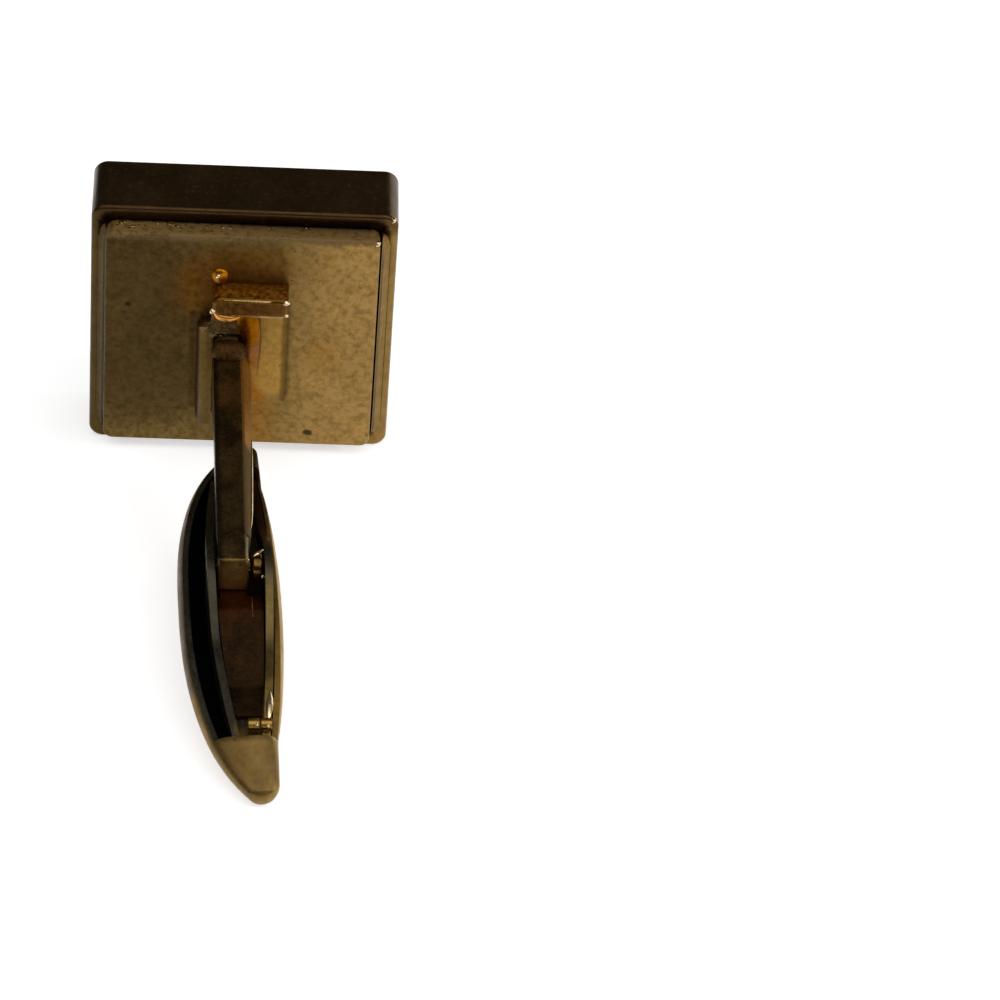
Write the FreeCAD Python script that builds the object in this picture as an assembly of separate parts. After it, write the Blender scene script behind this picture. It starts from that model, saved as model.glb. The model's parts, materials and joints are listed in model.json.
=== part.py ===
import FreeCAD, Part
import math
import os

# A swivel-toggle cufflink: a square hollow head, a flat post soldered to the head's back plate,
# and a hollow boat-shaped toggle that turns on a pin through the post's end.
# Units are millimetres. While it is modelled, the head stands upright: X runs across the head,
# Y runs from the toggle towards the head's front face, Z is up, and Y = 0 is the back rim of the head.

# Head
HEAD_SIDE = 15.0
HEAD_DEPTH = 3.7
HEAD_CORNER = 0.72
CASE_FRONT = 0.8
CASE_EDGE = 0.22
SEAT_SIDE = 13.6
SEAT_DEPTH = 0.6
CAVITY_SIDE = 12.3
CAVITY_CORNER = 0.4

# Back plate, which stands proud of the case's rim
PLATE_SIDE = 13.4
PLATE_RISE = 0.9
PLATE_CORNER = 0.5
PLATE_EDGE = 0.12
PLATE_SHIFT = 0.07

# Post: a flat bar on edge, deeper where it meets the plate
POST_WIDTH = 1.48
POST_TALL = 2.0
POST_ROOT_X = -0.66
POST_SKEW = 2.3
POST_END = 15.9
POST_ROOT_TALL = 4.9
POST_TAPER = 6.2
POST_ARCH = 1.1
POST_EDGE = 0.1
POST_WORN_EDGE = 0.28
POST_ROOT_SPARE = 0.1
# Shares of the taper's length and extra depth that shape the gusset's curve
GUSSET_FIRST_RUN = 0.30
GUSSET_FIRST_DEPTH = 0.35
GUSSET_SECOND_RUN = 0.60

# Foot: a stamped saddle round the root of the post
FOOT_LEFT = -2.2
FOOT_LEFT_STAND = 0.8
FOOT_LEFT_BOTTOM = -4.9
FOOT_LEFT_TOP = 1.5
FOOT_LEG_ROUND = 0.55
FOOT_RIGHT = 2.25
FOOT_RIGHT_STAND = 0.14
FOOT_RIGHT_BOTTOM = -3.9
FOOT_BRIDGE_RIGHT = 0.6
FOOT_BAR_LEFT = -1.5
FOOT_BAR_BOTTOM = 2.6
FOOT_BAR_TOP = 3.7
FOOT_BAR_STAND = 1.3
FOOT_BAR_ROUND = 0.5
FOOT_BAR_EDGE = 0.22
FOOT_GAP = 0.02
FOOT_LAP = 1.0

# Pivot
PIN_RADIUS = 0.40
PIN_CLEARANCE = 0.04
PIN_FROM_END = 0.8
PIN_FROM_UNDERSIDE = 0.8
PIN_END_BEVEL = 0.08
COLLAR_RADIUS = 0.68
COLLAR_GAP = 0.08
COLLAR_BEVEL = 0.16
TOGGLE_SKEW = 1.4

# Toggle shell, measured from the pin: "along" grows away from the head, "level" grows upwards
SHEET = 0.37
SHELL_CENTRE = 1.17
SHELL_HALF_LENGTH = 12.6
SHELL_POWER = 2.52
SHELL_LAST_SECTION = 11.32
SHELL_NEAR_EXTRA = 0.75
SHELL_TIP_DOME = 0.78
SHELL_TIP_START = 44
SHELL_TIP_TURNS = (55, 68, 80)
SHELL_BELLY = 5.28
SHELL_CHORD = 2.83
SHELL_NOSE_RIGHT = 1.71
SHELL_NOSE_START = 10.8
SHELL_NOSE_END = 11.6
SHELL_NOSE_TURN = 0.85
SHELL_SWELL = 0.62
SHELL_SWELL_HALF = 8.3
SHELL_SWELL_POWER = 0.8
RIM_TUCK = 0.06
RIM_SWELL_SHARE = 0.5
RIM_LEVEL = -1.0
RIM_SAG = 0.010
KEEL_MIDDLE = -4.0
KEEL_TIP = -2.8
CROWN_SHARE = 0.12
SHELL_SECTIONS = 15
MOUTH_NEAR = -8.8
MOUTH_FAR = 9.75
MOUTH_LID = 2.0
MOUTH_SECTIONS = 9

# Shell cross-section: shares of its width, its depth or the height of its crown
FLANK_LEFT_DROP = 0.04
FLANK_RIGHT_DROP = 0.38
SHOULDER_IN = 0.12
SHOULDER_LEFT_RISE = 0.55
SHOULDER_RIGHT_RISE = 0.45
BILGE_REACH = 0.62
BILGE_RISE = 0.17
HOLLOW_LEFT_DROP = 0.30
HOLLOW_RIGHT_DROP = 0.60
HOLLOW_BILGE_REACH = 0.70
HOLLOW_BILGE_RISE = 0.25

# Bracket: the sheet channel inside the shell, whose two ears carry the pin
BRACKET_LEFT = -1.07
BRACKET_LEFT_BEND = 0.0094
BRACKET_LEFT_MIDDLE = -0.13
BRACKET_RIGHT = 1.68
BRACKET_RIGHT_BEND = 0.0055
BRACKET_RIGHT_MIDDLE = 0.3
BRACKET_NEAR = -7.9
BRACKET_FAR = 9.5
BRACKET_FLOOR = -2.1
BRACKET_FIT = 0.05
EAR_TOP = 0.7
EAR_RUN = 4.4
WALL_TOP_POINTS = 25
CURL_RADIUS = 0.30
CURL_STARTS = (0.38, 0.98)
CURL_LENGTH = 0.5
CURL_STEM = 0.25
CURL_ALONG = 9.05
CURL_CLEAR = 0.03

# Leaf spring under the end of the post
SPRING_THICK = 0.25
SPRING_GAP = 0.03
SPRING_TONGUE_END = -1.2
SPRING_TONGUE_HALF = 0.62
SPRING_SHOULDER = 1.15
SPRING_FLAT_END = 2.0
SPRING_SEAT_START = 6.3
SPRING_FAR = 8.2
SPRING_SIDE_GAP = 0.08
SPRING_CORNER = 0.35
SPRING_BEND = 1.5

# Working values: cutters reach right across the toggle, and the resting lean is found by halving
ACROSS = 6.0
TOUCH = 1e-4
TABLE_TOLERANCE = 0.02
LEAN_LIMIT = 20
LEAN_STEPS = 40
ARC_MIDDLE = 1 - math.sqrt(0.5)

V = FreeCAD.Vector
X_AXIS = V(1, 0, 0)
Z_AXIS = V(0, 0, 1)

PLATE_FACE = -PLATE_RISE
PIN_Y = PLATE_FACE - POST_END + PIN_FROM_END
PIN_Z = -POST_TALL + PIN_FROM_UNDERSIDE


def rounded_square(side, corner, y_from, y_to):
    """A square block with rounded corners, standing upright between two Y planes."""
    block = Part.makeBox(side, y_to - y_from, side, V(-side / 2, y_from, -side / 2))
    uprights = [e for e in block.Edges if e.BoundBox.YLength > TOUCH]
    return block.makeFillet(corner, uprights)


def edges_at_y(shape, y):
    """The edges of a shape that lie wholly in the plane Y = y."""
    return [e for e in shape.Edges if abs(e.BoundBox.YMin - y) < TOUCH and abs(e.BoundBox.YMax - y) < TOUCH]


def edges_left_of(shape, x):
    """The edges of a shape that reach no further right than the plane X = x."""
    return [e for e in shape.Edges if e.BoundBox.XMax < x + TOUCH]


def prism(points, direction):
    """A closed straight-sided outline, extruded along a direction."""
    return Part.Face(Part.makePolygon(points + [points[0]])).extrude(direction)


def set_askew(shape):
    """Turn and shift a piece from the post's own directions to the post's slightly skewed seat."""
    shape.rotate(V(0, PLATE_FACE, 0), Z_AXIS, POST_SKEW)
    shape.translate(V(POST_ROOT_X, 0, 0))
    return shape


def set_toggle(shape):
    """Turn a piece of the toggle about the pin by its own skew, then seat it with the post."""
    shape.rotate(V(0, PIN_Y, PIN_Z), Z_AXIS, TOGGLE_SKEW)
    return set_askew(shape)


def make_head_case():
    """Square tray with a plain front, a seat for the back plate and a hollow inside."""
    case = rounded_square(HEAD_SIDE, HEAD_CORNER, 0, HEAD_DEPTH)
    case = case.makeFillet(CASE_EDGE, edges_at_y(case, 0) + edges_at_y(case, HEAD_DEPTH))
    seat = rounded_square(SEAT_SIDE, PLATE_CORNER, PLATE_FACE, SEAT_DEPTH)
    cavity = rounded_square(CAVITY_SIDE, CAVITY_CORNER, 0, HEAD_DEPTH - CASE_FRONT)
    return case.cut(seat).cut(cavity)


def make_back_plate():
    """Plate that lies low and to the left in the seat of the case and stands proud of its rim."""
    plate = rounded_square(PLATE_SIDE, PLATE_CORNER, PLATE_FACE, SEAT_DEPTH)
    plate = plate.makeFillet(PLATE_EDGE, edges_at_y(plate, PLATE_FACE))
    plate.translate(V(-PLATE_SHIFT, 0, -PLATE_SHIFT))
    return plate


def make_post():
    """Flat bar on edge, arched into the plate, with a curved gusset below and a pin hole near its end."""
    end = PLATE_FACE - POST_END
    taper_end = PLATE_FACE - POST_TAPER
    root = PLATE_FACE + POST_ROOT_SPARE
    first_level = -POST_TALL - GUSSET_FIRST_DEPTH * (POST_ROOT_TALL - POST_TALL)
    gusset = Part.BezierCurve()
    gusset.setPoles([
        V(0, root, -POST_ROOT_TALL),
        V(0, PLATE_FACE - GUSSET_FIRST_RUN * POST_TAPER, first_level),
        V(0, PLATE_FACE - GUSSET_SECOND_RUN * POST_TAPER, -POST_TALL),
        V(0, taper_end, -POST_TALL),
    ])
    arch = Part.Arc(
        V(0, root, POST_ARCH),
        V(0, PLATE_FACE - ARC_MIDDLE * POST_ARCH, ARC_MIDDLE * POST_ARCH),
        V(0, PLATE_FACE - POST_ARCH, 0),
    )
    outline = Part.Wire([
        gusset.toShape(),
        Part.makeLine(V(0, taper_end, -POST_TALL), V(0, end, -POST_TALL)),
        Part.makeLine(V(0, end, -POST_TALL), V(0, end, 0)),
        Part.makeLine(V(0, end, 0), V(0, PLATE_FACE - POST_ARCH, 0)),
        arch.toShape().reversed(),
        Part.makeLine(V(0, root, POST_ARCH), V(0, root, -POST_ROOT_TALL)),
    ])
    bar = Part.Face(outline).extrude(V(POST_WIDTH, 0, 0))
    bar.translate(V(-POST_WIDTH / 2, 0, 0))
    right_edges = [e for e in bar.Edges if e.BoundBox.XMin > 0 and e.BoundBox.ZMin > -TOUCH]
    worn = [e for e in right_edges if e.BoundBox.YMin < root and e.BoundBox.YLength > TOUCH]
    bar = bar.makeFillet(POST_WORN_EDGE, worn)
    bar = bar.makeFillet(POST_EDGE, edges_at_y(bar, end))
    hole = Part.makeCylinder(PIN_RADIUS + PIN_CLEARANCE, 2 * POST_WIDTH, V(-POST_WIDTH, PIN_Y, PIN_Z), X_AXIS)
    hole.rotate(V(0, PIN_Y, PIN_Z), Z_AXIS, TOGGLE_SKEW)
    plate_side = Part.makeBox(HEAD_SIDE, HEAD_DEPTH, HEAD_SIDE, V(-HEAD_SIDE / 2, PLATE_FACE, -HEAD_SIDE / 2))
    return set_askew(bar.cut(hole)).cut(plate_side)


def foot_block(x_from, x_to, stand, z_from, z_to):
    """A block that lies on the back plate."""
    corner = V(x_from, PLATE_FACE - stand, z_from)
    return Part.makeBox(x_to - x_from, stand, z_to - z_from, corner)


def make_post_foot():
    """Stamped saddle round the root of the post, with a round-ended bar across its top."""
    left_leg = foot_block(FOOT_LEFT, POST_ROOT_X, FOOT_LEFT_STAND, FOOT_LEFT_BOTTOM, FOOT_LEFT_TOP)
    left_edges = edges_left_of(left_leg, FOOT_LEFT)
    outer = [e for e in left_edges if e.BoundBox.YMin < PLATE_FACE - TOUCH]
    left_leg = left_leg.makeFillet(FOOT_LEG_ROUND, outer)
    right_leg = foot_block(POST_ROOT_X, FOOT_RIGHT, FOOT_RIGHT_STAND, FOOT_RIGHT_BOTTOM, FOOT_BAR_BOTTOM)
    bridge_bottom = FOOT_LEFT_TOP - FOOT_LAP
    bridge = foot_block(FOOT_BAR_LEFT, FOOT_BRIDGE_RIGHT, FOOT_LEFT_STAND, bridge_bottom, FOOT_BAR_BOTTOM)
    bar = foot_block(FOOT_BAR_LEFT, FOOT_RIGHT, FOOT_BAR_STAND, FOOT_BAR_BOTTOM, FOOT_BAR_TOP)
    left_end = [e for e in edges_left_of(bar, FOOT_BAR_LEFT) if e.BoundBox.YLength > TOUCH]
    bar = bar.makeFillet(FOOT_BAR_ROUND, left_end)
    bar = bar.makeFillet(FOOT_BAR_EDGE, edges_at_y(bar, PLATE_FACE - FOOT_BAR_STAND))
    foot = left_leg.fuse([right_leg, bridge, bar]).removeSplitter()
    slot_width = POST_WIDTH + 2 * FOOT_GAP
    slot_corner = V(-slot_width / 2, PLATE_FACE - HEAD_DEPTH, -HEAD_SIDE / 2)
    slot = Part.makeBox(slot_width, 2 * HEAD_DEPTH, HEAD_SIDE / 2 + POST_ARCH, slot_corner)
    return foot.cut(set_askew(slot))


def left_wall_x(along):
    """Middle of the bracket's left wall, which bows gently outwards."""
    return BRACKET_LEFT + BRACKET_LEFT_BEND * (along - BRACKET_LEFT_MIDDLE) ** 2


def right_wall_x(along):
    """Middle of the bracket's right wall."""
    return BRACKET_RIGHT - BRACKET_RIGHT_BEND * (along - BRACKET_RIGHT_MIDDLE) ** 2


def rim_level(along):
    """Height of the shell's rim, which falls a little towards both noses."""
    return RIM_LEVEL - RIM_SAG * along ** 2


def toggle_point(x, along, level):
    """A point given from the pin in the toggle's own directions."""
    return V(x, PIN_Y - along, PIN_Z + level)


def shell_outline(along, inset):
    """Left edge, right edge, right rim edge, rim level and keel level of the shell at one place."""
    s = along - SHELL_CENTRE
    roundness = math.sqrt(max(0, 1 - abs(s / SHELL_HALF_LENGTH) ** SHELL_POWER))
    swell = SHELL_SWELL * max(0, 1 - (s / SHELL_SWELL_HALF) ** 2) ** SHELL_SWELL_POWER
    reach = s if s > 0 else -s - SHELL_NEAR_EXTRA
    past_nose = max(0, reach - SHELL_NOSE_START) / (SHELL_NOSE_END - SHELL_NOSE_START)
    nose = SHELL_NOSE_TURN * (1 - math.sqrt(max(0, 1 - past_nose ** 2)))
    left = SHELL_CHORD - SHELL_BELLY * roundness + inset
    right = SHELL_NOSE_RIGHT + swell - nose - inset
    keel = KEEL_TIP + (KEEL_MIDDLE - KEEL_TIP) * roundness + inset
    rim_right = right - RIM_TUCK - swell * (1 - RIM_SWELL_SHARE)
    return left, right, rim_right, rim_level(along), keel


def outside_section(along):
    """One closed cross-section of the shell's outside."""
    left, right, rim_right, rim, keel = shell_outline(along, 0)
    middle = 0.5 * (left + right)
    depth = rim - keel
    crown = CROWN_SHARE * (right - left)
    points = [
        (left, rim - FLANK_LEFT_DROP * depth),
        (left + SHOULDER_IN * (right - left), rim + SHOULDER_LEFT_RISE * crown),
        (middle, rim + crown),
        (rim_right, rim + SHOULDER_RIGHT_RISE * crown),
        (right, rim - FLANK_RIGHT_DROP * depth),
        (middle + BILGE_REACH * (right - middle), keel + BILGE_RISE * depth),
        (middle, keel),
        (middle - BILGE_REACH * (middle - left), keel + BILGE_RISE * depth),
    ]
    ring = [toggle_point(x, along, level) for x, level in points]
    curve = Part.BSplineCurve()
    curve.interpolate(ring, PeriodicFlag=True)
    knots = curve.getKnots()
    return Part.Wire([curve.toShape(start, end) for start, end in zip(knots, knots[1:])])


def tip_section(along, way, turn):
    """The last section of a nose, shrunk and moved outwards as on a dome."""
    first = math.radians(SHELL_TIP_START)
    angle = math.radians(turn)
    section = outside_section(along)
    section.scale(math.cos(angle) / math.cos(first), section.BoundBox.Center)
    section.translate(V(0, -way * SHELL_TIP_DOME * (math.sin(angle) - math.sin(first)), 0))
    return section


def inside_section(along):
    """One cross-section of the hollow, carried straight up out of the mouth."""
    left, right, _, rim, keel = shell_outline(along, SHEET)
    middle = 0.5 * (left + right)
    depth = rim - keel
    mouth_right = right_wall_x(along) + SHEET / 2 + BRACKET_FIT
    bilge = keel + HOLLOW_BILGE_RISE * depth
    keel_point = toggle_point(middle, along, keel)
    low_left = toggle_point(left, along, rim - HOLLOW_LEFT_DROP * depth)
    low_right = toggle_point(mouth_right, along, rim - HOLLOW_RIGHT_DROP * depth)
    bottom_left = toggle_point(middle - HOLLOW_BILGE_REACH * (middle - left), along, bilge)
    bottom_right = toggle_point(middle + HOLLOW_BILGE_REACH * (mouth_right - middle), along, bilge)
    high_left = toggle_point(left, along, MOUTH_LID)
    high_right = toggle_point(mouth_right, along, MOUTH_LID)
    return Part.Wire([
        Part.makeLine(low_left, high_left),
        Part.makeLine(high_left, high_right),
        Part.makeLine(high_right, low_right),
        Part.Arc(low_right, bottom_right, keel_point).toShape(),
        Part.Arc(keel_point, bottom_left, low_left).toShape(),
    ])


def stations(start, end, count):
    """Places along the toggle, closer together towards both ends."""
    middle = 0.5 * (start + end)
    half = 0.5 * (end - start)
    return [middle - half * math.cos(math.pi * i / (count - 1)) for i in range(count)]


def make_toggle_shell():
    """Pressed boat-shaped shell, closed at both noses and open on the side that faces the post."""
    near = SHELL_CENTRE - SHELL_LAST_SECTION - SHELL_NEAR_EXTRA
    far = SHELL_CENTRE + SHELL_LAST_SECTION
    sections = [outside_section(a) for a in stations(near, far, SHELL_SECTIONS)]
    near_dome = [tip_section(near, -1, turn) for turn in reversed(SHELL_TIP_TURNS)]
    far_dome = [tip_section(far, 1, turn) for turn in SHELL_TIP_TURNS]
    outside = Part.makeLoft(near_dome + sections + far_dome, True, True)
    mouth = stations(MOUTH_NEAR, MOUTH_FAR, MOUTH_SECTIONS)
    inside = Part.makeLoft([inside_section(a) for a in mouth], True, True)
    above_rim = prism(
        [toggle_point(-ACROSS, a, rim_level(a)) for a in mouth]
        + [toggle_point(-ACROSS, MOUTH_FAR, MOUTH_LID), toggle_point(-ACROSS, MOUTH_NEAR, MOUTH_LID)],
        V(2 * ACROSS, 0, 0),
    )
    return outside.cut(inside).cut(above_rim)


def wall_arc(middle_x, offset, start, end, level):
    """The line of a bracket wall in plan, moved sideways by an offset."""
    places = (start, 0.5 * (start + end), end)
    return Part.Arc(*[toggle_point(middle_x(a) + offset, a, level) for a in places]).toShape()


def face_between(first, second):
    """The flat face between two arcs that run the same way."""
    far_line = Part.makeLine(first.Vertexes[-1].Point, second.Vertexes[-1].Point)
    near_line = Part.makeLine(first.Vertexes[0].Point, second.Vertexes[0].Point)
    return Part.Face(Part.Wire([first, far_line, second.reversed(), near_line]))


def curved_wall(middle_x, level_from, level_to):
    """An upright wall of sheet along the bracket."""
    first = wall_arc(middle_x, -SHEET / 2, BRACKET_NEAR, BRACKET_FAR, level_from)
    second = wall_arc(middle_x, SHEET / 2, BRACKET_NEAR, BRACKET_FAR, level_from)
    return face_between(first, second).extrude(V(0, 0, level_to - level_from))


def wall_top(along):
    """Top of the bracket's walls: level with the shell's rim, with a smooth rise that carries the pin."""
    share = 0.5 + 0.5 * math.cos(math.pi * min(abs(along), EAR_RUN) / EAR_RUN)
    return rim_level(along) + (EAR_TOP - RIM_LEVEL) * share


def bracket_side_view(bottom):
    """The bracket's outline seen from the side, as a block that reaches across the toggle."""
    step = (BRACKET_FAR - BRACKET_NEAR) / (WALL_TOP_POINTS - 1)
    places = [BRACKET_NEAR + i * step for i in range(WALL_TOP_POINTS)]
    crest = Part.BSplineCurve()
    crest.interpolate([toggle_point(-ACROSS, a, wall_top(a)) for a in places])
    near_foot = toggle_point(-ACROSS, BRACKET_NEAR, bottom)
    far_foot = toggle_point(-ACROSS, BRACKET_FAR, bottom)
    outline = Part.Wire([
        crest.toShape(),
        Part.makeLine(crest.EndPoint, far_foot),
        Part.makeLine(far_foot, near_foot),
        Part.makeLine(near_foot, crest.StartPoint),
    ])
    return Part.Face(outline).extrude(V(2 * ACROSS, 0, 0))


def make_toggle_bracket():
    """Sheet channel with two bowed walls, an ear on each for the pin, and two curled tabs at its far end."""
    bottom = BRACKET_FLOOR - SHEET
    far_top = rim_level(BRACKET_FAR)
    side_view = bracket_side_view(bottom)
    walls = [curved_wall(x, bottom, EAR_TOP).common(side_view) for x in (left_wall_x, right_wall_x)]
    left_line = wall_arc(left_wall_x, 0, BRACKET_NEAR, BRACKET_FAR, bottom)
    right_line = wall_arc(right_wall_x, 0, BRACKET_NEAR, BRACKET_FAR, bottom)
    floor = face_between(left_line, right_line).extrude(V(0, 0, SHEET))
    curls = []
    roll_level = far_top + CURL_CLEAR + CURL_RADIUS
    for start in CURL_STARTS:
        base = toggle_point(start, CURL_ALONG, bottom) - V(0, SHEET / 2, 0)
        curls.append(Part.makeBox(CURL_STEM, SHEET, roll_level - bottom, base))
        roll_at = toggle_point(start, CURL_ALONG, roll_level)
        curls.append(Part.makeCylinder(CURL_RADIUS, CURL_LENGTH, roll_at, X_AXIS))
    bracket = floor.fuse(walls + curls).removeSplitter()
    hole = Part.makeCylinder(PIN_RADIUS, 2 * ACROSS, V(-ACROSS, PIN_Y, PIN_Z), X_AXIS)
    return bracket.cut(hole)


def make_pivot_pin():
    """Plain rivet, flush with both ears, through the end of the post."""
    start = left_wall_x(0) - SHEET / 2
    end = right_wall_x(0) + SHEET / 2
    shank = Part.makeCylinder(PIN_RADIUS, end - start, V(start, PIN_Y, PIN_Z), X_AXIS)
    return shank.makeChamfer(PIN_END_BEVEL, [e for e in shank.Edges if e.BoundBox.XLength < TOUCH])


def make_pin_collar():
    """Ring on the pin that fills the gap between the post and the right ear."""
    start = POST_WIDTH / 2 + COLLAR_GAP
    end = right_wall_x(-COLLAR_RADIUS) - SHEET / 2
    ring = Part.makeCylinder(COLLAR_RADIUS, end - start, V(start, PIN_Y, PIN_Z), X_AXIS)
    ring = ring.makeChamfer(COLLAR_BEVEL, [e for e in ring.Edges if e.BoundBox.XLength < TOUCH])
    bore = Part.makeCylinder(PIN_RADIUS, end - start, V(start, PIN_Y, PIN_Z), X_AXIS)
    return ring.cut(bore)


def make_leaf_spring():
    """Flat spring fixed at its far end, with a tongue that bears on the underside of the post."""
    top = -PIN_FROM_UNDERSIDE - SPRING_GAP
    seat = BRACKET_FLOOR + SPRING_THICK
    upper = [(SPRING_TONGUE_END, top), (SPRING_FLAT_END, top), (SPRING_SEAT_START, seat), (SPRING_FAR, seat)]
    lower = [(a, level - SPRING_THICK) for a, level in reversed(upper)]
    side_view = prism([toggle_point(-ACROSS, a, level) for a, level in upper + lower], V(2 * ACROSS, 0, 0))
    bends = (PIN_Y - SPRING_FLAT_END, PIN_Y - SPRING_SEAT_START)
    bend_edges = [e for y in bends for e in edges_at_y(side_view, y)]
    side_view = side_view.makeFillet(SPRING_BEND, bend_edges)
    reach = SHEET / 2 + SPRING_SIDE_GAP
    left_side = wall_arc(left_wall_x, reach, SPRING_SHOULDER, SPRING_FAR, KEEL_MIDDLE)
    right_side = wall_arc(right_wall_x, -reach, SPRING_SHOULDER, SPRING_FAR, KEEL_MIDDLE)
    panel = face_between(left_side, right_side).extrude(V(0, 0, -KEEL_MIDDLE))
    near_y = PIN_Y - SPRING_SHOULDER
    shoulders = [e for e in edges_at_y(panel, near_y) if e.BoundBox.XLength < TOUCH]
    panel = panel.makeFillet(SPRING_CORNER, shoulders)
    tongue = Part.makeBox(
        2 * SPRING_TONGUE_HALF, SPRING_FLAT_END - SPRING_TONGUE_END, -KEEL_MIDDLE,
        toggle_point(-SPRING_TONGUE_HALF, SPRING_FLAT_END, KEEL_MIDDLE),
    )
    return panel.fuse(tongue).removeSplitter().common(side_view)


def surface_points(shape):
    """Points of a shape's surface, close enough to find where it touches a table."""
    return shape.tessellate(TABLE_TOLERANCE)[0]


def resting_lean(head, toggle):
    """The lean about X, in degrees, at which head and toggle touch one level surface together."""
    head_points = surface_points(head)
    toggle_points = surface_points(toggle)

    def lowest(points, angle):
        return min(p.y * math.sin(angle) + p.z * math.cos(angle) for p in points)

    low = 0.0
    high = math.radians(LEAN_LIMIT)
    for _ in range(LEAN_STEPS):
        angle = 0.5 * (low + high)
        if lowest(toggle_points, angle) > lowest(head_points, angle):
            low = angle
        else:
            high = angle
    return math.degrees(low)


def main():
    nodes = {
        "head_case": make_head_case(),
        "back_plate": make_back_plate(),
        "post": make_post(),
        "post_foot": make_post_foot(),
        "pivot_pin": set_toggle(make_pivot_pin()),
        "pin_collar": set_toggle(make_pin_collar()),
        "toggle_shell": set_toggle(make_toggle_shell()),
        "toggle_bracket": set_toggle(make_toggle_bracket()),
        "leaf_spring": set_toggle(make_leaf_spring()),
    }
    lean = resting_lean(nodes["head_case"], nodes["toggle_shell"])
    pin_line = set_toggle(Part.makeLine(V(0, PIN_Y, PIN_Z), V(1, PIN_Y, PIN_Z)))
    pin_line.rotate(V(0, 0, 0), X_AXIS, lean)
    points = []
    for shape in nodes.values():
        shape.rotate(V(0, 0, 0), X_AXIS, lean)
        points += surface_points(shape)
    shift = V(
        -0.5 * (min(p.x for p in points) + max(p.x for p in points)),
        -0.5 * (min(p.y for p in points) + max(p.y for p in points)),
        -min(p.z for p in points),
    )
    os.makedirs("parts", exist_ok=True)
    for name, shape in nodes.items():
        shape.translate(shift)
        shape.exportStep(f"parts/{name}.step")
        print(name, "solids", len(shape.Solids), "valid", shape.isValid(), "volume", round(shape.Volume, 2))
    print("lean", round(lean, 3), "shift", shift)
    pin_line.translate(shift)
    start, end = [v.Point for v in pin_line.Vertexes]
    print("pin", start, "axis", end - start)


main()
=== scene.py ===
# %% [markdown]
# # A swivel-toggle cufflink in aged gold-plated brass
#
# The solids of the cufflink come in as a fixed frame: nine pieces on two bodies, the head and the toggle.
# Everything below dresses that frame. Blender works in metres here, which are large for an object that is
# 32 mm long, so sizes are written in millimetres and turned once.

# %% Load the frame
import json
import math
import random

import bpy
import bmesh
import numpy as np
from mathutils import Matrix, Vector


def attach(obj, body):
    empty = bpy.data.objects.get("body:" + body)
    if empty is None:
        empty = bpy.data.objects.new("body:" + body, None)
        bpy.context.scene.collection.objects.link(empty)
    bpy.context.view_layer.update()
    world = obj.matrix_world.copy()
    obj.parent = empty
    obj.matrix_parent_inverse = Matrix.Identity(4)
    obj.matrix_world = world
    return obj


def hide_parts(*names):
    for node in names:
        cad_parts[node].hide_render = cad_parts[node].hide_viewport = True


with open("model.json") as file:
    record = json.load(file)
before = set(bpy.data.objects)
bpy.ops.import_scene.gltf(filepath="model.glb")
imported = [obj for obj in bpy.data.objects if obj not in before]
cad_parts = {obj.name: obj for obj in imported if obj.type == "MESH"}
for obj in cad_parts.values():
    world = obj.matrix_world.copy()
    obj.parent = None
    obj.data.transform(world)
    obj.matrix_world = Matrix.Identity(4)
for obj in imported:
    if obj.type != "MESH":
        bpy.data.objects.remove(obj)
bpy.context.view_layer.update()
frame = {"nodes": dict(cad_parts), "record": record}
MM = 0.001
print("nodes", sorted(frame["nodes"]))

# %% [markdown]
# ## Three sets of directions
#
# The head leans a little on the table, the post leaves it a little askew, and the toggle is turned a
# little on its pin. Each is easier to work on in its own directions, so three small functions turn a
# place on the head, on the post or on the toggle into a place in the scene. The record that comes with
# the frame gives the pin's place and direction and the way the head's front faces.

# %% Places on the head, the post and the toggle
record = frame["record"]
swivel = record["behaviour"]["joints"][0]
front_face = next(mount for mount in record["mounts"] if mount["name"] == "front_face")
HEAD_DEPTH = 3.7
HEAD_X = Vector((1, 0, 0))
HEAD_Y = Vector(front_face["axis"]).normalized()
HEAD_Z = HEAD_X.cross(HEAD_Y)
BACK_RIM = Vector(front_face["pos_m"]) - HEAD_DEPTH * MM * HEAD_Y
PLATE_FACE = -0.9
POST_ROOT_X = -0.66
POST_SKEW = math.radians(2.3)
PIN = Vector(swivel["pos_m"])
TOGGLE_X = Vector(swivel["axis"]).normalized()
TOGGLE_ALONG = TOGGLE_X.cross(HEAD_Z)


def head_point(x, y, z):
    """A place in mm from the middle of the head's back rim: across, towards the front, up."""
    return BACK_RIM + MM * (x * HEAD_X + y * HEAD_Y + z * HEAD_Z)


def post_point(x, run, z):
    """A place in mm from the post's root on the back plate: across the post, along it, up from its top."""
    across = x * math.cos(POST_SKEW) + run * math.sin(POST_SKEW)
    away = x * math.sin(POST_SKEW) - run * math.cos(POST_SKEW)
    return head_point(POST_ROOT_X + across, PLATE_FACE + away, z)


def toggle_point(x, along, level):
    """A place in mm from the pin: across, away from the head, up."""
    return PIN + MM * (x * TOGGLE_X + along * TOGGLE_ALONG + level * HEAD_Z)


print("pin at", [round(v / MM, 2) for v in PIN], "mm")

# %% [markdown]
# ## Colours and nodes
#
# Colours are written as sRGB hex values, the way a colour picker shows them, but shader nodes work with
# linear light. One function does the turn. A second function adds a node, sets its fields and sockets, and
# links what feeds it, so that a material reads as a list of steps.

# %% Helpers for colours and nodes
def linear(hex_colour):
    """A hex colour such as #8a6c36 as linear RGBA."""
    channels = [int(hex_colour[i:i + 2], 16) / 255 for i in (1, 3, 5)]
    turned = [c / 12.92 if c <= 0.04045 else ((c + 0.055) / 1.055) ** 2.4 for c in channels]
    return (*turned, 1.0)


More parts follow.
